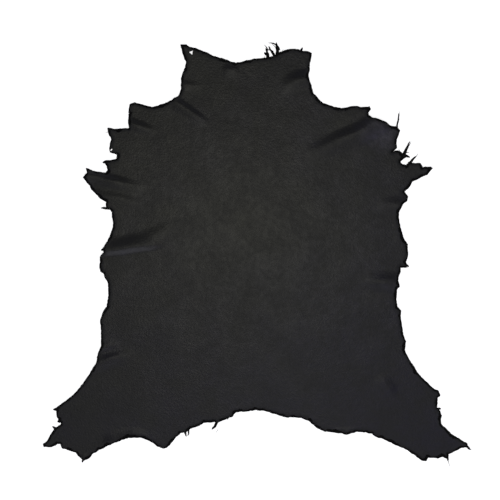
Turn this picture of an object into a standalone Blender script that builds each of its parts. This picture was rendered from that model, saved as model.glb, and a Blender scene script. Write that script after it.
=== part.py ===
"""One black leather hide, laid flat with its grain side up.

It is a single tanned skin: the neck points to +Y, the forelegs stand out at the sides and the
hind legs splay at -Y. The skin is drawn as a trimmed outline with thin tags and torn holes,
filled with points, raised where it buckles, and given its thickness by Solidify.

The drawing is in millimetres, x to the right and y towards the neck, from the middle of the
back. The model is in metres, with the middle of its footprint at the origin and z = 0 under it.
"""

import math

import bpy
from mathutils import Vector, noise
from mathutils.geometry import delaunay_2d_cdt
from mathutils.kdtree import KDTree

# Driving sizes, in metres
HIDE_WIDTH = 1.067
HIDE_LENGTH = 1.049
THICK_AT_BACK = 0.0014
THICK_AT_BELLY = 0.0010

# How the thickness varies: the distance from the backbone to the thin bellies in millimetres,
# the share by which it is uneven, and how far apart the uneven places lie
BACK_TO_BELLY = 400.0
UNEVEN_SHARE = 0.04
UNEVEN_LENGTH = 60.0

# How finely the skin is divided, in millimetres of the drawing
CUT_STEP = 11.0
COARSE_STEP = 24.0
RIM_CLEARANCE = 0.55
CUT_ROUGHNESS = 0.9
CUT_ROUGHNESS_LENGTH = 17.0
WELD_WITHIN = 0.3
HULL_TRIANGLES = 0
TAG_ROOT_DEPTH = 7.0
TAG_SHAPE = ((0.0, 1.0), (0.45, 0.8), (0.8, 0.45))

# The trimmed edge, clockwise from the left tip of the neck. Each row is a corner of the cut:
# x, y, and how far the cut bows outwards on its way to it.
NECK_EDGE = (
    (-190, 518, 0),
    (-174, 518, 3),
    (-169, 512, 0),
    (-152, 509, 0),
    (-108, 490, 0.5),
    (-84, 483, 0),
    (-60, 474, 0),
    (-31, 477, -2),
    (5, 484, 0),
    (27, 485, 0),
    (45, 490, 0),
    (61, 499, 0),
    (81, 506, 1),
    (106, 506, 1.5),
    (116, 502, 0),
    (127, 501, 0.5),
    (139, 496, 1),
    (138, 489, 1),
)
RIGHT_NECK = (
    (134, 473, 0),
    (134, 460, 0.5),
    (130, 441, -1),
    (134, 425, -1),
    (139, 408, 1),
    (151, 388, -2),
    (160, 376, 0),
    (186, 365, -0.5),
    (213, 359, -1),
    (239, 364, -1),
    (262, 362, 1),
    (283, 363, -0.5),
)
RIGHT_FORELEG = (
    (285, 357, 0.5),
    (280, 349, 0),
    (281, 341, -0.5),
    (291, 335, 0),
    (326, 323, 1),
    (337, 314, -0.5),
    (350, 314, 0),
    (359, 304, 0.5),
    (351, 281, 0.5),
    (351, 261, -0.5),
    (340, 249, 0.5),
    (353, 254, 0),
    (365, 247, 1.5),
    (373, 253, -1),
    (373, 246, 0),
    (376, 238, 0),
    (360, 225, -1),
    (365, 218, 0),
    (374, 216, 0),
    (388, 226, 1),
    (388, 222, 0),
    (410, 222, 0),
    (417, 212, 0),
    (436, 212, 0.5),
    (439, 209, 0.5),
    (426, 192, 0.5),
    (404, 182, -1.5),
    (390, 175, 0.5),
    (381, 161, 0.5),
    (370, 150, -0.5),
)
RIGHT_BELLY = (
    (379, 138, 2),
    (376, 126, 0.5),
    (365, 118, 0),
    (356, 100, 0),
    (356, 84, 0),
    (360, 60, 0),
    (369, 30, 0.5),
    (378, 18, 1.5),
    (378, -14, 1),
    (374, -25, 0.5),
    (377, -35, 0),
    (374, -39, 0),
    (360, -40, 0),
    (359, -52, 0),
    (354, -68, 0),
    (357, -86, -1),
    (351, -98, 0.5),
    (350, -118, -0.5),
    (352, -136, 0),
    (361, -147, 0),
)
RIGHT_FLANK = (
    (360, -163, -0.5),
    (367, -205, 0),
    (374, -225, -0.5),
    (371, -245, -0.5),
    (378, -262, 0.5),
    (391, -283, 0),
    (411, -313, 0),
    (430, -331, 0.5),
    (445, -345, 0),
    (454, -347, 1),
    (459, -356, 1),
)
RIGHT_HIND_LEG = (
    (459, -361, 0),
    (453, -364, 0),
    (451, -393, 0),
    (459, -398, 0),
    (463, -410, 0.5),
    (460, -419, 0),
    (466, -437, -0.5),
    (491, -458, 1),
    (508, -469, 0),
    (527, -480, 0.5),
    (530, -490, 0.5),
    (512, -490, 0),
    (480, -506, 1),
    (478, -518, 0),
    (464, -513, 0.5),
    (453, -517, 0.5),
    (428, -515, -1),
    (424, -523, 0.5),
    (413, -522, 0),
)
RUMP = (
    (396, -509, 0),
    (375, -495, 0),
    (356, -486, 0),
    (318, -469, 0),
    (294, -460, 0),
    (289, -455, 0),
    (252, -450, -0.5),
    (228, -456, 0.5),
    (190, -451, 0.5),
    (172, -450, 0),
    (146, -436, 0.5),
    (131, -423, 0),
    (112, -415, 0.5),
    (73, -414, 0),
    (51, -407, 0.5),
    (25, -399, 0),
    (0, -396, 0),
    (-19, -399, 0),
    (-40, -400, 0),
    (-56, -405, 0),
    (-60, -412, 0),
    (-82, -421, 0),
    (-96, -428, 0),
    (-104, -426, 0),
    (-132, -428, 0),
    (-147, -437, 0),
    (-164, -443, 0),
    (-177, -452, 0),
    (-188, -452, 0),
    (-204, -468, 0),
    (-217, -485, 0),
    (-233, -492, 2),
    (-248, -487, 1),
    (-264, -474, -0.5),
    (-288, -465, -1),
    (-325, -466, -0.5),
)
LEFT_HIND_LEG = (
    (-352, -477, -0.5),
    (-407, -504, -1),
    (-421, -518, 0.5),
    (-432, -523, 1),
    (-438, -515, 0),
    (-445, -511, 1),
    (-450, -503, 0.5),
    (-485, -492, 0),
    (-489, -481, 0),
    (-496, -481, -0.5),
    (-512, -488, 0.5),
    (-530, -489, 0),
    (-532, -482, 1.5),
    (-521, -471, 0),
    (-504, -441, 0),
    (-500, -439, 0),
    (-487, -432, -0.5),
    (-488, -427, 0),
    (-496, -426, 0),
    (-494, -419, 0),
    (-498, -414, 0),
    (-500, -397, 0),
    (-499, -391, 0),
)
LEFT_FLANK = (
    (-484, -379, 0),
    (-461, -360, -1),
    (-440, -341, 0.5),
    (-430, -326, 0),
    (-418, -308, 0.5),
    (-398, -274, 0),
    (-395, -255, 0),
    (-388, -238, 0),
    (-387, -195, -0.5),
    (-390, -172, 0),
    (-383, -149, 0.5),
    (-373, -137, 0),
    (-370, -118, 0.5),
)
LEFT_BELLY = (
    (-370, -80, 0),
    (-381, -56, -0.5),
    (-392, -42, 1),
    (-390, -13, 0),
    (-381, -1, 1.5),
    (-384, 8, 0),
    (-372, 24, 0),
    (-363, 45, -0.5),
    (-357, 68, -0.5),
    (-360, 98, 0),
    (-366, 105, 0),
    (-375, 107, 0),
    (-374, 124, 0),
)
LEFT_FORELEG = (
    (-389, 132, 0),
    (-399, 144, 0),
    (-416, 166, 2),
    (-431, 186, 0.5),
    (-422, 197, 0),
    (-425, 209, -0.5),
    (-408, 202, 0),
    (-384, 198, 0),
    (-375, 198, 0),
    (-370, 204, 0),
    (-373, 215, -0.5),
    (-378, 221, 0),
    (-366, 228, 0),
    (-349, 233, 0),
    (-347, 243, -0.5),
    (-365, 249, 0),
    (-367, 258, 0),
    (-362, 280, 0),
    (-371, 302, 0),
    (-371, 309, 0),
    (-361, 309, 0),
    (-347, 307, 0),
    (-318, 309, 0),
    (-319, 344, 0.5),
    (-310, 346, 0),
    (-319, 348, 0),
    (-316, 368, 1),
)
LEFT_NECK = (
    (-304, 374, 1),
    (-260, 362, -1),
    (-234, 369, -1),
    (-210, 379, 0),
    (-195, 389, 1),
    (-188, 407, -0.5),
    (-186, 443, 0),
    (-176, 472, -2),
    (-182, 492, 0.5),
)
TRIMMED_EDGE = (
    NECK_EDGE + RIGHT_NECK + RIGHT_FORELEG + RIGHT_BELLY + RIGHT_FLANK + RIGHT_HIND_LEG
    + RUMP + LEFT_HIND_LEG + LEFT_FLANK + LEFT_BELLY + LEFT_FORELEG + LEFT_NECK
)

# Thin tags left on the edge. Each row: root x, root y, length, width at the root, the way it
# points in degrees from +X, and the degrees it bends to the left by its tip.
TAGS = (
    (30, 484, 27, 7, 95, 12),
    (24, 495, 5, 5, 160, 0),
    (46, 489, 29, 6, 122, 0),
    (53, 493, 31, 9, 88, 12),
    (111, 502, 10, 5.5, 64, 0),
    (351, 312, 36, 3.5, 78, 4),
    (371, 250, 30, 6, 58, 8),
    (374, 240, 10, 6, -20, 0),
    (386, 226, 18, 6, 45, 0),
    (376, -35, 5, 5, -35, 0),
    (454, -394, 8, 6, 20, -15),
    (526, -486, 13, 5, -42, -12),
    (478, -516, 9, 4, -80, 0),
    (-70, -415, 5, 3, -105, 0),
    (-98, -424, 26, 7, -98, -35),
    (-169, -446, 13, 3, -92, 0),
    (-179, -450, 13, 4, -70, 0),
    (-432, -519, 8, 5, -115, 0),
    (-502, -441, 8, 5, 150, 0),
    (-500, -394, 7, 6, 190, 0),
    (-381, 6, 6, 6, 190, 0),
    (-374, 109, 13, 4, 178, 0),
    (-374, 225, 10, 6, 185, 0),
)

# Torn holes. Each row: x, y, length, width, the way its length lies in degrees, and its corners.
HOLES = (
    (-162, 499, 13, 13, -70, 3),
    (-362, 255, 8, 4.4, 48, 7),
)

# Buckles that the skin keeps as it lies. Each row is a crest: from x, y to x, y, its bow to
# the left, its height, how far it slopes away on the left and right of the crest, and the
# shares of its length over which it rises and dies away.
BUCKLES = (
    (-396, 1, -211, 25, -2, 6.8, 44, 24, 0.00, 0.65),
    (-317, 13, -175, 77, 0, 2.2, 36, 50, 0.50, 0.50),
    (-209, 381, -107, 312, 0, 5.0, 26, 34, 0.00, 0.60),
    (-329, 326, -237, 296, 0, 4.0, 24, 30, 0.00, 0.70),
    (-423, 192, -261, 157, -1, 5.2, 26, 42, 0.00, 0.65),
    (-387, 141, -261, 111, 3, 3.2, 28, 40, 0.00, 0.75),
    (307, 331, 93, 235, 8, 6.4, 54, 36, 0.00, 0.60),
    (343, 319, 237, 271, 2, 3.6, 24, 26, 0.30, 0.45),
    (141, 433, 51, 393, -11, 4.9, 36, 38, 0.00, 0.75),
    (395, 119, 291, 115, 0, 4.4, 38, 36, 0.00, 0.70),
    (373, -80, 235, -67, 0, 5.0, 40, 40, 0.00, 0.70),
    (-402, -280, -285, -248, 3, 3.8, 24, 38, 0.00, 0.75),
    (-389, -479, -261, -466, 4, 5.0, 40, 40, 0.30, 0.40),
)
# A buckle that starts at the cut, with no rise of its own, fades out this far beyond its start
FADES_WITHIN = 26.0
# The skin settles by this much, so that it lies flat beyond its buckles
SETTLED = 0.25
FINE_ABOVE = 0.05

SKIN_COLOR = (0.0225, 0.0220, 0.0230, 1.0)
SKIN_ROUGHNESS = 0.55


def smooth(share):
    """0 to 1 with level ends."""
    share = min(max(share, 0.0), 1.0)
    return share * share * (3.0 - 2.0 * share)


def heading(degrees):
    return Vector((math.cos(math.radians(degrees)), math.sin(math.radians(degrees))))


def left_of(direction):
    return Vector((-direction.y, direction.x))


def cut_to(start, x, y, bow):
    """The points of one bowed cut, without its start."""
    chord = Vector((x, y)) - start
    steps = max(1, round(chord.length / CUT_STEP))
    outwards = left_of(chord.normalized())
    points = []
    for step in range(1, steps + 1):
        share = step / steps
        aside = 4.0 * bow * share * (1.0 - share)
        point = start + share * chord + aside * outwards
        if step < steps:
            rough = noise.noise(point.to_3d() / CUT_ROUGHNESS_LENGTH)
            point += CUT_ROUGHNESS * rough * outwards
        points.append(point)
    return points


def edge_points():
    points = []
    start = Vector(TRIMMED_EDGE[-1][:2])
    for row in TRIMMED_EDGE:
        points += cut_to(start, *row)
        start = points[-1]
    return points


def tag_points(x, y, length, width, degrees, bend):
    """A tapered tag that starts inside the skin and ends in a point."""
    place, reached = Vector((x, y)), 0.0
    root_side = width / 2 * left_of(heading(degrees))
    sides = [(place - TAG_ROOT_DEPTH * heading(degrees), root_side)]
    for share, part in TAG_SHAPE:
        way = heading(degrees + bend * share)
        place = place + (share - reached) * length * way
        sides.append((place, part * width / 2 * left_of(way)))
        reached = share
    tip = place + (1.0 - reached) * length * heading(degrees + bend)
    right = [middle - side for middle, side in sides]
    left = [middle + side for middle, side in reversed(sides)]
    return right + [tip] + left


def hole_points(x, y, length, width, degrees, corners):
    along = heading(degrees)
    points = []
    for corner in range(corners):
        angle = 2.0 * math.pi * corner / corners
        points.append(
            Vector((x, y))
            + length / 2 * math.cos(angle) * along
            + width / 2 * math.sin(angle) * left_of(along)
        )
    return points


def buckle_height(x, y, x0, y0, x1, y1, bow, height, left_reach, right_reach, rise, fall):
    """How high one buckle lifts the skin at a point: steep by its crest, level further off."""
    chord = Vector((x1 - x0, y1 - y0))
    along = Vector((x - x0, y - y0)).dot(chord) / chord.length_squared
    before = -along * chord.length
    if before > FADES_WITHIN or along > 1.0:
        return 0.0
    offset = Vector((x - x0, y - y0)).dot(left_of(chord.normalized()))
    offset -= 4.0 * bow * along * (1.0 - along)
    reach = left_reach if offset > 0.0 else right_reach
    away = min(1.0, abs(offset) / reach)
    across = (1.0 - away) ** 3 * (1.0 + 3.0 * away)
    start = smooth(along / rise) if rise else smooth(1.0 - before / FADES_WITHIN)
    end = smooth((1.0 - along) / fall)
    return height * across * start * end


def lift(x, y):
    """The underside's height in millimetres: exactly 0 where the skin touches what it lies on."""
    height = sum(buckle_height(x, y, *row) for row in BUCKLES)
    return max(0.0, height - SETTLED)


def inner_points(rim):
    """A triangular lattice, at half its step where the skin is lifted, clear of the rim."""
    tree = KDTree(len(rim))
    for index, point in enumerate(rim):
        tree.insert(point.to_3d(), index)
    tree.balance()
    low_x, high_x = min(p.x for p in rim), max(p.x for p in rim)
    low_y, high_y = min(p.y for p in rim), max(p.y for p in rim)
    step = COARSE_STEP / 2
    row_step = step * math.sqrt(0.75)
    points = []
    for row in range(int((high_y - low_y) / row_step)):
        for column in range(int((high_x - low_x) / step) + 1):
            x = low_x + (column + 0.5 * (row % 2)) * step
            y = low_y + (row + 0.5) * row_step
            coarse = row % 2 == 0 and (column + row // 2) % 2 == 0
            lifted = lift(x, y) > FINE_ABOVE
            if not coarse and not lifted:
                continue
            clearance = RIM_CLEARANCE * (step if lifted else COARSE_STEP)
            if tree.find((x, y, 0.0))[2] > clearance:
                points.append(Vector((x, y)))
    return points


def cut_skin():
    """Points and triangles of the flat skin, in millimetres of the drawing."""
    edge = edge_points()[::-1]
    kept = [edge] + [tag_points(*row) for row in TAGS]
    removed = [hole_points(*row) for row in HOLES]
    points, loops = [], []
    for loop in kept + removed:
        loops.append(list(range(len(points), len(points) + len(loop))))
        points += loop
    points += inner_points(points)
    found, _, triangles, _, _, sources = delaunay_2d_cdt(
        points, [], loops, HULL_TRIANGLES, WELD_WITHIN
    )
    skin = []
    for triangle, inside in zip(triangles, sources):
        if any(i < len(kept) for i in inside) and not any(i >= len(kept) for i in inside):
            skin.append(triangle)
    used = sorted({index for triangle in skin for index in triangle})
    place = {index: order for order, index in enumerate(used)}
    return [found[i] for i in used], [[place[i] for i in triangle] for triangle in skin]


def thickness_share(x, y):
    """Thickness as a share of the backbone's: thinner at bellies and legs, a little uneven."""
    thinnest = THICK_AT_BELLY / THICK_AT_BACK
    thickest = 1.0 - UNEVEN_SHARE
    away = smooth(abs(x) / BACK_TO_BELLY)
    uneven = UNEVEN_SHARE * noise.noise(Vector((x, y, 0.0)) / UNEVEN_LENGTH)
    return thickest - (thickest - thinnest - UNEVEN_SHARE) * away + uneven


def leather_material():
    material = bpy.data.materials.new("black_leather")
    material.use_nodes = True
    shader = material.node_tree.nodes["Principled BSDF"]
    shader.inputs["Base Color"].default_value = SKIN_COLOR
    shader.inputs["Roughness"].default_value = SKIN_ROUGHNESS
    shader.inputs["Metallic"].default_value = 0.0
    return material


def make_hide(collection):
    points, triangles = cut_skin()
    low = Vector((min(p.x for p in points), min(p.y for p in points)))
    high = Vector((max(p.x for p in points), max(p.y for p in points)))
    middle = (low + high) / 2
    stretch = Vector((HIDE_WIDTH / (high.x - low.x), HIDE_LENGTH / (high.y - low.y)))
    placed = [
        ((p.x - middle.x) * stretch.x, (p.y - middle.y) * stretch.y, lift(p.x, p.y) / 1000)
        for p in points
    ]
    mesh = bpy.data.meshes.new("hide")
    mesh.from_pydata(placed, [], triangles)
    mesh.materials.append(leather_material())
    mesh.shade_smooth()
    hide = bpy.data.objects.new("hide", mesh)
    collection.objects.link(hide)
    group = hide.vertex_groups.new(name="thickness")
    for index, point in enumerate(points):
        group.add([index], thickness_share(point.x, point.y), "REPLACE")
    solid = hide.modifiers.new("Thickness", "SOLIDIFY")
    solid.thickness = THICK_AT_BACK
    solid.offset = 1.0
    solid.vertex_group = group.name
    return hide


def main():
    for old in list(bpy.data.objects):
        bpy.data.objects.remove(old, do_unlink=True)
    collection = bpy.data.collections.new("leather_hide")
    bpy.context.scene.collection.children.link(collection)
    make_hide(collection)


main()
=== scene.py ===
"""One black leather hide as it looks: laid flat on a light table and seen from straight above.

The tables are in millimetres of the part's own frame, x to the right and y towards the neck.
Every mesh is in metres. The light comes from the tail, so a slope that faces the neck is dark.
"""

import math

import bmesh
import bpy
from mathutils import Matrix, Vector, noise
from mathutils.kdtree import KDTree


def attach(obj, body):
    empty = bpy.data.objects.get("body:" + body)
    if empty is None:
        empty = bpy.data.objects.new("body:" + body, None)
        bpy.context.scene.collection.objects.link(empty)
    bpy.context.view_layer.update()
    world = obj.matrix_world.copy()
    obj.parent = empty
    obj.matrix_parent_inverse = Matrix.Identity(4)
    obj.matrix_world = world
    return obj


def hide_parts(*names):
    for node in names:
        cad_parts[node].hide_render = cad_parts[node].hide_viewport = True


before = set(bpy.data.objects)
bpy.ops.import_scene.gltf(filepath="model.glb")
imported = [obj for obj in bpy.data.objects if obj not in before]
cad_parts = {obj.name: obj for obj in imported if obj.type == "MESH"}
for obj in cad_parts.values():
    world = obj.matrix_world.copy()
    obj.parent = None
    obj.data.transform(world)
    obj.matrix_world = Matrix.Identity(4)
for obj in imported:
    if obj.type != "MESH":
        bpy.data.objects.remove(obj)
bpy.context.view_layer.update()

MM = 0.001

# The hide's thickness at the backbone and the bellies, and how far out the bellies are
THICK_AT_BACK = 1.4
THICK_AT_BELLY = 1.0
BACK_TO_BELLY = 400.0
# The cut is pressed thinner than the skin beside it
THINNED_AT_CUT = 0.25
THINNED_WITHIN = 5.0

# How the solid's upper face is taken over and divided, in millimetres
MERGED_WITHIN = 0.01
LEAST_UPWARD = 0.5
ROUNDS = 3
LONGEST_EDGE = 6.6
LONGEST_ON_FOLD = 4.4
LONGEST_AT_CUT = 3.4
FOLD_FROM = 0.08
CUT_BAND = 14.0

# How ragged the cut is: the length of each size of wave and how far it strays, in millimetres
CUT_WAVES = (
    (14.0, 1.7),
    (5.0, 1.1),
)
# Which draw of the noise moves the cut along x, and which along y
CUT_DRAWS = (21.0, 34.0)
STRAY_REACH = 12.0
FIBRES_STAND_OUT = 0.7
# The painted rim shade: the band's width, how uneven it is and over what length, and how far in the
# darkening reaches
RIM_BAND = 5.4
RIM_UNEVEN = 1.1
RIM_UNEVEN_LENGTH = 16.0
RIM_SHADE_REACH = 13.0

# The folds that the skin keeps. Each row is a crest: from x, y to x, y, its bow to the left,
# its height, how far it slopes away on the left and right of the crest, and the shares of its
# length over which it rises and dies away.
FOLDS = (
    (-397, 2, -212, 26, -2, 6.8, 44, 21, 0.00, 0.65),
    (-330, 8, -222, 27, -1, 1.8, 70, 18, 0.35, 0.50),
    (-318, 14, -176, 78, 0, 2.2, 36, 50, 0.50, 0.50),
    (-210, 382, -108, 313, 0, 3.9, 19, 34, 0.00, 0.60),
    (-330, 327, -238, 297, 0, 4.0, 21, 30, 0.00, 0.70),
    (-424, 193, -262, 158, -1, 5.2, 24, 42, 0.00, 0.65),
    (-388, 142, -262, 112, 3, 3.2, 28, 40, 0.00, 0.75),
    (-196, 419, -118, 416, 0, 1.5, 20, 26, 0.00, 0.80),
    (-92, 458, -36, 455, 0, 2.2, 22, 34, 0.40, 0.40),
    (306, 332, 92, 236, 8, 5.8, 54, 36, 0.00, 0.60),
    (342, 320, 236, 272, 2, 1.4, 24, 30, 0.30, 0.45),
    (140, 434, 50, 394, -11, 4.9, 36, 38, 0.00, 0.75),
    (394, 120, 290, 116, 0, 4.4, 38, 36, 0.00, 0.70),
    (372, -79, 234, -66, 0, 5.0, 40, 40, 0.00, 0.70),
    (-403, -279, -286, -247, 3, 3.8, 22, 38, 0.00, 0.75),
    (-400, -240, -335, -228, 0, 3.0, 30, 18, 0.00, 0.80),
    (-390, -478, -262, -465, 4, 5.0, 40, 40, 0.30, 0.40),
    (296, -302, 350, -366, 2, 2.0, 34, 34, 0.40, 0.40),
    (168, -452, 322, -472, 6, 2.4, 26, 24, 0.35, 0.35),
)
# A fold that starts at the cut, with no rise of its own, fades out this far beyond its start
FADES_WITHIN = 26.0
# The skin's own weight presses every fold and curl down by this much
SETTLED = 0.25
# How uneven the folds' heights are, and how far their crests stray sideways
FOLD_UNEVEN = 0.22
FOLD_UNEVEN_LENGTH = 42.0
CREST_STRAYS = 2.2
CREST_STRAY_LENGTH = 55.0

# Holes and a nick torn in flaying, where the skin was never trimmed or pressed and no rim shade
# is painted: x, y, and how far round
TORN_HOLES = (
    (-163, 500, 12),
    (-363, 256, 8),
    (-311, 347, 6),
)

# Tips that curl a little off the table: x, y, how far in the curl reaches, and its height
CURLED_TIPS = (
    (-191, 520, 34, 2.6),
    (138, 497, 26, 1.6),
    (439, 211, 40, 2.6),
    (-432, 187, 34, 2.4),
    (530, -489, 46, 3.0),
    (-533, -484, 34, 3.6),
    (415, -523, 40, 3.6),
    (477, -513, 24, 2.6),
    (-433, -522, 30, 3.4),
    (-319, 368, 24, 1.8),
    (-372, 306, 22, 1.6),
)

# The skin's own unevenness: length and height of each size of swelling, in millimetres
SWELLINGS = (
    (150.0, 0.45),
    (52.0, 0.25),
    (19.0, 0.085),
)

# Hairs and threads of skin on the ragged edge. Each row: root x, root y, length, width at the
# root, the way it points in degrees from +X, and the degrees it bends to the left by its tip.
THREADS = (
    (56, 509, 29, 5.0, 97, 100),
    (51, 507, 24, 1.8, 126, 12),
    (27, 508, 14, 3.0, 112, 24),
    (34, 508, 9, 2.0, 130, 0),
    (38, 503, 13, 2.6, 165, -10),
    (20, 486, 7, 1.2, 108, 0),
    (62, 500, 9, 1.4, 70, -20),
    (356, 340, 14, 1.2, 80, 4),
    (383, 270, 10, 1.3, 66, 0),
    (396, 236, 14, 1.8, 48, 12),
    (357, 252, 6, 2.2, 108, 0),
    (375, 249, 7, 2.2, 8, 0),
    (-379, 109, 12, 4.2, 172, 0),
    (-371, 226, 8, 1.2, 168, 0),
    (-373, 300, 6, 1.2, 190, 0),
    (-424, 207, 5, 2.0, 140, 0),
    (373, -37, 7, 1.2, -20, 0),
    (478, -519, 19, 1.3, -78, 6),
    (533, -491, 9, 1.2, -38, 0),
    (-98, -446, 8, 1.1, -118, -20),
    (-169, -448, 13, 2.4, -80, -56),
    (-434, -521, 6, 1.1, -100, 0),
    (-503, -440, 6, 1.2, 160, 0),
)
# How many faces a thread has along it, its thickness, how far its root reaches inside the cut,
# how high it lies, and how much of its width it loses by its tip
THREAD_STEPS = 6
THREAD_THICK = 0.5
THREAD_ROOT = 4.0
THREAD_LIFT = 0.25
THREAD_TAPER = 0.85

# The table top reaches this far from the middle, and lies just under the skin, in metres
TABLE_REACH = 40.0
TABLE_DROP = 0.0004

# The photograph's view: 2.5 mm to each of 500 pixels, from straight above
PICTURE_SIDE = 1.25
CAMERA_HEIGHT = 3.2
CAMERA_OVER = (-0.0168, 0.0056)
SENSOR = 36.0


def smooth(share):
    """0 to 1 with level ends."""
    share = min(max(share, 0.0), 1.0)
    return share * share * (3.0 - 2.0 * share)


def heading(degrees):
    return Vector((math.cos(math.radians(degrees)), math.sin(math.radians(degrees))))


def left_of(direction):
    return Vector((-direction.y, direction.x))


def unevenness(x, y, length, seed=0.0):
    return noise.noise(Vector((x / length, y / length, seed)))


def fold_height(x, y, x0, y0, x1, y1, bow, height, left_reach, right_reach, rise, fall):
    """How high one fold lifts the skin: steepest just beside its crest, softer further off."""
    chord = Vector((x1 - x0, y1 - y0))
    from_start = Vector((x - x0, y - y0))
    along = from_start.dot(chord) / chord.length_squared
    before = -along * chord.length
    if before > FADES_WITHIN or along > 1.0:
        return 0.0
    offset = from_start.dot(left_of(chord.normalized())) - 4.0 * bow * along * (1.0 - along)
    reach = left_reach if offset > 0.0 else right_reach
    if abs(offset) > reach + CREST_STRAYS:
        return 0.0
    offset += CREST_STRAYS * unevenness(x, y, CREST_STRAY_LENGTH, 7.0)
    away = min(1.0, abs(offset) / reach)
    across = (1.0 - away) ** 3 * (1.0 + 3.0 * away)
    start = smooth(along / rise) if rise else smooth(1.0 - before / FADES_WITHIN)
    end = smooth((1.0 - along) / fall)
    return height * across * start * end


def folds_height(x, y):
    height = sum(fold_height(x, y, *row) for row in FOLDS)
    return height * (1.0 + FOLD_UNEVEN * unevenness(x, y, FOLD_UNEVEN_LENGTH, 3.0))


def curl_height(x, y):
    height = 0.0
    for tip_x, tip_y, reach, rise in CURLED_TIPS:
        away = math.hypot(x - tip_x, y - tip_y) / reach
        if away < 1.0:
            height += rise * (1.0 - away) ** 2
    return height


def lift(x, y):
    """The underside's height in millimetres, 0 wherever the skin lies on the table."""
    return max(0.0, folds_height(x, y) + curl_height(x, y) - SETTLED)


def thickness(x, y, from_cut):
    """Thinner at the bellies, pressed thinner at the cut, and softly swollen all over."""
    thick = THICK_AT_BACK - (THICK_AT_BACK - THICK_AT_BELLY) * smooth(abs(x) / BACK_TO_BELLY)
    for seed, (length, height) in enumerate(SWELLINGS):
        thick += height * unevenness(x, y, length, 11.0 * seed)
    pressed = THINNED_AT_CUT * (1.0 - smooth(from_cut / THINNED_WITHIN))
    return thick * (1.0 - pressed)


def in_hole(x, y):
    return any(math.hypot(x - row[0], y - row[1]) < row[2] for row in TORN_HOLES)


def tree_of_cut(bm):
    """A search tree of the points along the trimmed cut, without the torn holes."""
    edge = [vert for vert in bm.verts if vert.is_boundary]
    cut = [vert for vert in edge if not in_hole(vert.co.x / MM, vert.co.y / MM)]
    tree = KDTree(len(cut))
    for index, vert in enumerate(cut):
        tree.insert((vert.co.x, vert.co.y, 0.0), index)
    tree.balance()
    return tree


def from_cut(tree, place):
    return tree.find((place.x, place.y, 0.0))[2] / MM


def grain_side(node):
    """The upper face of the CAD hide alone, merged into one sheet."""
    bm = bmesh.new()
    bm.from_mesh(node.data)
    bmesh.ops.remove_doubles(bm, verts=bm.verts[:], dist=MERGED_WITHIN * MM)
    bm.normal_update()
    others = [face for face in bm.faces if face.normal.z < LEAST_UPWARD]
    bmesh.ops.delete(bm, geom=others, context="FACES")
    return bm


def divide(bm):
    """Halves each edge that is too long for its place: finest at the cut and on the folds."""
    for _ in range(ROUNDS):
        tree = tree_of_cut(bm)
        long_edges = []
        for edge in bm.edges:
            middle = (edge.verts[0].co + edge.verts[1].co) / 2
            longest = LONGEST_EDGE
            if from_cut(tree, middle) < CUT_BAND:
                longest = LONGEST_AT_CUT
            elif folds_height(middle.x / MM, middle.y / MM) > FOLD_FROM:
                longest = LONGEST_ON_FOLD
            if edge.calc_length() > longest * MM:
                long_edges.append(edge)
        bmesh.ops.subdivide_edges(bm, edges=long_edges, cuts=1)
        bmesh.ops.dissolve_degenerate(bm, edges=bm.edges[:], dist=MERGED_WITHIN * MM)
        bmesh.ops.triangulate(bm, faces=bm.faces[:])


def outwards(vert):
    """The way out of the skin at a point of its cut."""
    way = Vector((0.0, 0.0))
    for edge in vert.link_edges:
        if edge.is_boundary:
            middle = (edge.verts[0].co + edge.verts[1].co) / 2
            aside = left_of((edge.verts[1].co - edge.verts[0].co).to_2d())
            inside = (edge.link_faces[0].calc_center_median() - middle).to_2d()
            way += -aside if aside.dot(inside) > 0.0 else aside
    return way.normalized()


def fray(bm):
    """Lets the cut stray a little, as a knife does in soft skin, and its fibres stand out."""
    tree = tree_of_cut(bm)
    strays = {}
    for vert in bm.verts:
        away = from_cut(tree, vert.co) / STRAY_REACH
        if away < 1.0:
            x, y = vert.co.x / MM, vert.co.y / MM
            stray = Vector((0.0, 0.0))
            for length, strays_by in CUT_WAVES:
                stray += strays_by * Vector([unevenness(x, y, length, draw) for draw in CUT_DRAWS])
            strays[vert] = (1.0 - smooth(away)) * stray
            if vert.is_boundary:
                strays[vert] += FIBRES_STAND_OUT * outwards(vert)
    for vert, stray in strays.items():
        vert.co.x += stray.x * MM
        vert.co.y += stray.y * MM


def add(tree, kind, links=None, **settings):
    """Adds a node with its settings, and links each named input to an output of another node."""
    node = tree.nodes.new(kind)
    for name, value in settings.items():
        if hasattr(node, name):
            setattr(node, name, value)
        else:
            node.inputs[name.replace("_", " ")].default_value = value
    for name, output in (links or {}).items():
        tree.links.new(output, node.inputs[name])
    return node


def linear(hex_colour):
    """An sRGB hex colour as linear values."""
    values = []
    for start in (1, 3, 5):
        share = int(hex_colour[start:start + 2], 16) / 255
        values.append(share / 12.92 if share <= 0.04045 else ((share + 0.055) / 1.055) ** 2.4)
    return (*values, 1.0)


def new_material(name):
    material = bpy.data.materials.new(name)
    material.use_nodes = True
    tree = material.node_tree
    tree.nodes.clear()
    shader = tree.nodes.new("ShaderNodeBsdfPrincipled")
    output = tree.nodes.new("ShaderNodeOutputMaterial")
    tree.links.new(shader.outputs["BSDF"], output.inputs["Surface"])
    return material, tree, shader


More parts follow.
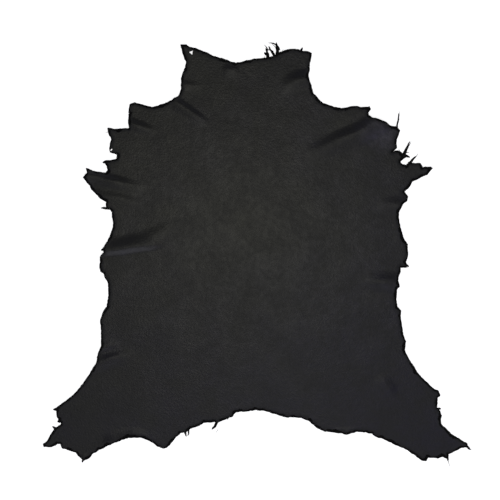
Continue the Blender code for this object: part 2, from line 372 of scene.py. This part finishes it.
def black_nappa():
    """Chrome-tanned, drum-dyed sheep nappa: near-black, soft half-matt sheen, fine grain."""
    material, tree, shader = new_material("black_nappa_leather")
    place = add(tree, "ShaderNodeTexCoord").outputs["Object"]

    # Dye takes unevenly: cloudy patches some 70 mm across with 14 mm blotches in them
    clouds = add(tree, "ShaderNodeTexNoise", {"Vector": place},
                 Scale=1000 / 70, Detail=3.0, Roughness=0.55)
    blotches = add(tree, "ShaderNodeTexNoise", {"Vector": place},
                   Scale=1000 / 14, Detail=3.0, Roughness=0.6)
    uneven_dye = add(tree, "ShaderNodeMath", {0: clouds.outputs["Fac"], 1: blotches.outputs["Fac"]},
                     operation="ADD")
    tone = add(tree, "ShaderNodeMapRange", {"Value": uneven_dye.outputs["Value"]})
    tone.inputs["From Min"].default_value = 0.82
    tone.inputs["From Max"].default_value = 1.18
    tone.inputs["To Min"].default_value = 0.6
    tone.inputs["To Max"].default_value = 1.4

    # The dye is browner by the left foreleg and bluer by the right hind leg, in 90 mm patches,
    # and a warmer, paler black is painted over the middle as sheen, lightest at the centre
    hues = add(tree, "ShaderNodeTexNoise", {"Vector": place}, Scale=1000 / 90, Detail=2.0)
    slanted = add(tree, "ShaderNodeMapping", {"Vector": place}, vector_type="TEXTURE",
                  Location=(-0.36, 0.27, 0.0), Rotation=(0.0, 0.0, math.radians(-37.0)),
                  Scale=(0.9, 1.0, 1.0))
    down_right = add(tree, "ShaderNodeTexGradient", {"Vector": slanted.outputs["Vector"]})
    patches = add(tree, "ShaderNodeMath", {0: hues.outputs["Fac"], 2: down_right.outputs["Fac"]},
                  operation="MULTIPLY_ADD")
    patches.inputs[1].default_value = 1.5
    bluer = add(tree, "ShaderNodeMapRange", {"Value": patches.outputs["Value"]})
    bluer.inputs["From Min"].default_value = 0.75
    bluer.inputs["From Max"].default_value = 1.75
    edge_black = add(tree, "ShaderNodeMix", {"Factor": bluer.outputs["Result"]}, data_type="RGBA")
    edge_black.inputs[6].default_value = linear("#0A0A09")
    edge_black.inputs[7].default_value = linear("#090719")
    centred = add(tree, "ShaderNodeMapping", {"Vector": place}, vector_type="TEXTURE",
                  Location=(-0.03, 0.08, 0.0), Scale=(0.50, 0.38, 1.0))
    painted_sheen_glow = add(tree, "ShaderNodeTexGradient", {"Vector": centred.outputs["Vector"]},
               gradient_type="QUADRATIC_SPHERE")
    # Mixes in the painted sheen's paler black, most at the middle of the hide
    black = add(tree, "ShaderNodeMix", {"Factor": painted_sheen_glow.outputs["Fac"], 6: edge_black.outputs[2]},
                data_type="RGBA")
    black.inputs[7].default_value = linear("#1C1C17")
    # The colour is darker in a thin line down the middle of the neck
    down_neck = add(tree, "ShaderNodeMapping", {"Vector": place}, vector_type="TEXTURE",
                    Location=(0.001, 0.29, 0.0), Scale=(0.018, 0.20, 1.0))
    thin_dark_line = add(tree, "ShaderNodeTexGradient", {"Vector": down_neck.outputs["Vector"]},
                gradient_type="SPHERICAL")
    lined = add(tree, "ShaderNodeMix", {"Factor": thin_dark_line.outputs["Fac"], 6: black.outputs[2]},
                data_type="RGBA")
    lined.inputs[7].default_value = linear("#080807")
    # A paler, slightly violet patch is painted at the right shoulder's corner: painted sheen where that
    # skin catches the light
    by_shoulder = add(tree, "ShaderNodeMapping", {"Vector": place}, vector_type="TEXTURE",
                      Location=(0.312, 0.294, 0.0), Scale=(0.062, 0.052, 1.0))
    painted_sheen_patch = add(tree, "ShaderNodeTexGradient", {"Vector": by_shoulder.outputs["Vector"]},
                    gradient_type="SPHERICAL")
    paler = add(tree, "ShaderNodeMix", {"Factor": painted_sheen_patch.outputs["Fac"], 6: lined.outputs[2]},
                data_type="RGBA")
    paler.inputs[7].default_value = linear("#34323E")
    dyed = add(tree, "ShaderNodeHueSaturation", {"Color": paler.outputs[2],
                                                 "Value": tone.outputs["Result"]})

    # Towards the cut the colour is painted darker as shade along the rim, and the skin took less finish
    near_cut = add(tree, "ShaderNodeAttribute", attribute_name="from_cut")
    inside = add(tree, "ShaderNodeMapRange", {"Value": near_cut.outputs["Fac"]},
                 interpolation_type="SMOOTHSTEP")
    inside.inputs["From Min"].default_value = 0.15
    colour = add(tree, "ShaderNodeMix", {"Factor": inside.outputs["Result"]}, data_type="RGBA")
    colour.inputs[6].default_value = linear("#070707")
    tree.links.new(dyed.outputs["Color"], colour.inputs[7])
    tree.links.new(colour.outputs[2], shader.inputs["Base Color"])

    # Patches that took more finish are a little shinier
    gloss = add(tree, "ShaderNodeMapRange", {"Value": uneven_dye.outputs["Value"]})
    gloss.inputs["From Min"].default_value = 0.75
    gloss.inputs["From Max"].default_value = 1.25
    gloss.inputs["To Min"].default_value = 0.49
    gloss.inputs["To Max"].default_value = 0.415
    matt = add(tree, "ShaderNodeMix", {"Factor": inside.outputs["Result"]}, data_type="FLOAT")
    matt.inputs[2].default_value = 0.8
    tree.links.new(gloss.outputs["Result"], matt.inputs[3])
    tree.links.new(matt.outputs[0], shader.inputs["Roughness"])

    # Pebbled grain. Real sheep grain is under 1 mm; 5 mm pebbles are drawn so that it shows
    pebbles = add(tree, "ShaderNodeTexVoronoi", {"Vector": place},
                  feature="SMOOTH_F1", Scale=1000 / 5.0, Smoothness=0.4)
    pores = add(tree, "ShaderNodeTexNoise", {"Vector": place},
                Scale=1000 / 2.5, Detail=2.0, Roughness=0.6)
    grain = add(tree, "ShaderNodeBump", {"Height": pebbles.outputs["Distance"]},
                Strength=0.5, Distance=0.0006)
    fine = add(tree, "ShaderNodeBump", {"Height": pores.outputs["Fac"], "Normal": grain.outputs["Normal"]},
               Strength=0.4, Distance=0.0004)
    tree.links.new(fine.outputs["Normal"], shader.inputs["Normal"])
    shader.inputs["IOR"].default_value = 1.5
    shader.inputs["Specular IOR Level"].default_value = 0.5
    return material


def painted_shade_rim():
    """The grain side's last 5 mm or so before the cut: pressed thinner, near-black painted shade along the
    rim, hardly glossy.
    """
    material, tree, shader = new_material("painted_shade_leather_rim")
    place = add(tree, "ShaderNodeTexCoord").outputs["Object"]
    dye = add(tree, "ShaderNodeTexNoise", {"Vector": place},
              Scale=1000 / 9, Detail=3.0, Roughness=0.6)
    # Near-black painted shade, mottled a little
    colour = add(tree, "ShaderNodeMix", {"Factor": dye.outputs["Fac"]}, data_type="RGBA")
    colour.inputs[6].default_value = linear("#060606")
    colour.inputs[7].default_value = linear("#131312")
    tree.links.new(colour.outputs[2], shader.inputs["Base Color"])
    creased = add(tree, "ShaderNodeBump", {"Height": dye.outputs["Fac"]},
                  Strength=0.4, Distance=0.0006)
    tree.links.new(creased.outputs["Normal"], shader.inputs["Normal"])
    shader.inputs["Roughness"].default_value = 0.9
    shader.inputs["Specular IOR Level"].default_value = 0.12
    return material


def suede():
    """The split flesh side, buffed to a nap: matt charcoal with a faint fuzz of light."""
    material, tree, shader = new_material("buffed_suede")
    place = add(tree, "ShaderNodeTexCoord").outputs["Object"]
    nap = add(tree, "ShaderNodeTexNoise", {"Vector": place},
              Scale=1000 / 6, Detail=5.0, Roughness=0.7)
    colour = add(tree, "ShaderNodeMix", {"Factor": nap.outputs["Fac"]}, data_type="RGBA")
    colour.inputs[6].default_value = linear("#1B1A1A")
    colour.inputs[7].default_value = linear("#343231")
    tree.links.new(colour.outputs[2], shader.inputs["Base Color"])
    fibres = add(tree, "ShaderNodeBump", {"Height": nap.outputs["Fac"]},
                 Strength=0.7, Distance=0.0008)
    tree.links.new(fibres.outputs["Normal"], shader.inputs["Normal"])
    shader.inputs["Roughness"].default_value = 0.95
    shader.inputs["Sheen Weight"].default_value = 0.25
    return material


def cut_fibres():
    """The knife-cut rim, dyed right through: matt black with frayed fibres."""
    material, tree, shader = new_material("cut_leather_edge")
    place = add(tree, "ShaderNodeTexCoord").outputs["Object"]
    strands = add(tree, "ShaderNodeTexNoise", {"Vector": place},
                  Scale=1000 / 2, Detail=4.0, Roughness=0.7)
    colour = add(tree, "ShaderNodeMix", {"Factor": strands.outputs["Fac"]}, data_type="RGBA")
    colour.inputs[6].default_value = linear("#0B0B0B")
    colour.inputs[7].default_value = linear("#1D1B1A")
    tree.links.new(colour.outputs[2], shader.inputs["Base Color"])
    frayed = add(tree, "ShaderNodeBump", {"Height": strands.outputs["Fac"]},
                 Strength=0.6, Distance=0.0004)
    tree.links.new(frayed.outputs["Normal"], shader.inputs["Normal"])
    shader.inputs["Roughness"].default_value = 0.9
    return material


def new_piece(name, bm, *materials):
    mesh = bpy.data.meshes.new(name)
    bm.to_mesh(mesh)
    bm.free()
    for material in materials:
        mesh.materials.append(material)
    piece = bpy.data.objects.new(name, mesh)
    bpy.context.scene.collection.objects.link(piece)
    return piece


def make_hide(grain, flesh, cut, rim):
    bm = grain_side(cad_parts["hide"])
    divide(bm)
    fray(bm)
    tree = tree_of_cut(bm)
    share = bm.verts.layers.float.new("from_cut")
    thick = []
    for vert in bm.verts:
        x, y = vert.co.x / MM, vert.co.y / MM
        away = from_cut(tree, vert.co)
        vert[share] = min(1.0, away / RIM_SHADE_REACH)
        vert.co.z = lift(x, y) * MM
        thick.append(thickness(x, y, away))
    for edge in bm.edges:
        edge.smooth = not edge.is_boundary
    for face in bm.faces:
        face.smooth = True
        # Faces within the uneven band by the cut get the painted rim shade
        centre = face.calc_center_median()
        band = RIM_BAND * (1.0 + RIM_UNEVEN * unevenness(centre.x / MM, centre.y / MM,
                                                         RIM_UNEVEN_LENGTH, 5.0))
        face.material_index = 3 if from_cut(tree, centre) < band else 0
    # Solidify moves each face's material on by one for its underside and by two for the cut
    hide = new_piece("black_leather_hide", bm, grain, flesh, cut, rim, flesh, cut)
    group = hide.vertex_groups.new(name="thickness")
    thickest = max(thick)
    for index, value in enumerate(thick):
        group.add([index], value / thickest, "REPLACE")
    skin = hide.modifiers.new("Skin thickness", "SOLIDIFY")
    skin.thickness = thickest * MM
    skin.offset = 1.0
    skin.vertex_group = group.name
    skin.material_offset = 1
    skin.material_offset_rim = 2
    return hide


def thread(x, y, length, width, degrees, bend):
    """One tapered thread of skin that starts inside the cut and curves to its tip."""
    bm = bmesh.new()
    bmesh.ops.create_grid(bm, x_segments=THREAD_STEPS, y_segments=1, size=0.5)
    root = Vector((x, y)) - THREAD_ROOT * heading(degrees)
    whole = length + THREAD_ROOT
    for vert in bm.verts:
        share = vert.co.x + 0.5
        way = degrees + 0.5 * bend * share
        middle = root + share * whole * heading(way)
        wide = width * (1.0 - THREAD_TAPER * share ** 2)
        side = vert.co.y * wide * left_of(heading(way + 0.5 * bend * share))
        spot = middle + side
        vert.co = Vector((spot.x, spot.y, lift(spot.x, spot.y) + THREAD_LIFT)) * MM
    for face in bm.faces:
        face.smooth = True
    return bm


def make_threads(material):
    joined = bmesh.new()
    for row in THREADS:
        strip = thread(*row)
        mesh = bpy.data.meshes.new("thread")
        strip.to_mesh(mesh)
        strip.free()
        joined.from_mesh(mesh)
        bpy.data.meshes.remove(mesh)
    threads = new_piece("edge_threads", joined, material)
    skin = threads.modifiers.new("Thread thickness", "SOLIDIFY")
    skin.thickness = THREAD_THICK * MM
    skin.offset = 1.0
    return threads


def make_table():
    """A backlit table top, as pale goods shots use, wide enough for every view."""
    bm = bmesh.new()
    bmesh.ops.create_grid(bm, x_segments=1, y_segments=1, size=TABLE_REACH)
    bmesh.ops.translate(bm, verts=bm.verts[:], vec=(0.0, 0.0, -TABLE_DROP))
    material, tree, shader = new_material("light_table")
    shader.inputs["Base Color"].default_value = linear("#F4F4F4")
    shader.inputs["Roughness"].default_value = 0.9
    shader.inputs["Specular IOR Level"].default_value = 0.2
    shader.inputs["Emission Color"].default_value = linear("#FFFFFF")
    shader.inputs["Emission Strength"].default_value = 0.75
    new_piece("table", bm, material)


def softbox(name, place, size, power, tint):
    """A rectangular studio light that faces the hide."""
    data = bpy.data.lights.new(name, "AREA")
    data.color = linear(tint)[:3]
    data.shape = "RECTANGLE"
    data.size, data.size_y = size
    data.energy = power
    lamp = bpy.data.objects.new(name, data)
    lamp.location = place
    lamp.rotation_euler = (-Vector(place)).to_track_quat("-Z", "Y").to_euler()
    bpy.context.scene.collection.objects.link(lamp)


def make_studio():
    softbox("tail_softbox", (0.3, -2.6, 2.2), (6.0, 2.2), 41.0, "#F5F4FF")
    softbox("overhead_softbox", (-0.03, 0.11, 4.3), (1.3, 1.1), 20.0, "#FFFEF0")
    world = bpy.data.worlds.new("studio")
    bpy.context.scene.world = world
    world.use_nodes = True
    tree = world.node_tree
    tree.nodes.clear()
    way = add(tree, "ShaderNodeTexCoord").outputs["Generated"]
    parts = add(tree, "ShaderNodeSeparateXYZ", {"Vector": way})
    ceiling = add(tree, "ShaderNodeMapRange", {"Value": parts.outputs["Z"]},
                  interpolation_type="SMOOTHSTEP")
    ceiling.inputs["From Min"].default_value = 0.1
    ceiling.inputs["From Max"].default_value = 0.8
    ceiling.inputs["To Min"].default_value = 0.9
    ceiling.inputs["To Max"].default_value = 0.03
    light = add(tree, "ShaderNodeBackground", {"Strength": ceiling.outputs["Result"]})
    output = tree.nodes.new("ShaderNodeOutputWorld")
    tree.links.new(light.outputs["Background"], output.inputs["Surface"])
    light.inputs["Color"].default_value = linear("#F0F2FF")
    bpy.context.scene.view_settings.view_transform = "Standard"


def make_camera():
    data = bpy.data.cameras.new("camera")
    data.sensor_width = SENSOR
    data.lens = SENSOR * CAMERA_HEIGHT / PICTURE_SIDE
    camera = bpy.data.objects.new("camera", data)
    camera.matrix_world = Matrix.Translation((*CAMERA_OVER, CAMERA_HEIGHT))
    bpy.context.scene.collection.objects.link(camera)
    bpy.context.scene.camera = camera


make_camera()
make_studio()
make_table()
grain = black_nappa()
hide = make_hide(grain, suede(), cut_fibres(), painted_shade_rim())
threads = make_threads(grain)
for piece in (hide, threads):
    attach(piece, "root")
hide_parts("hide")
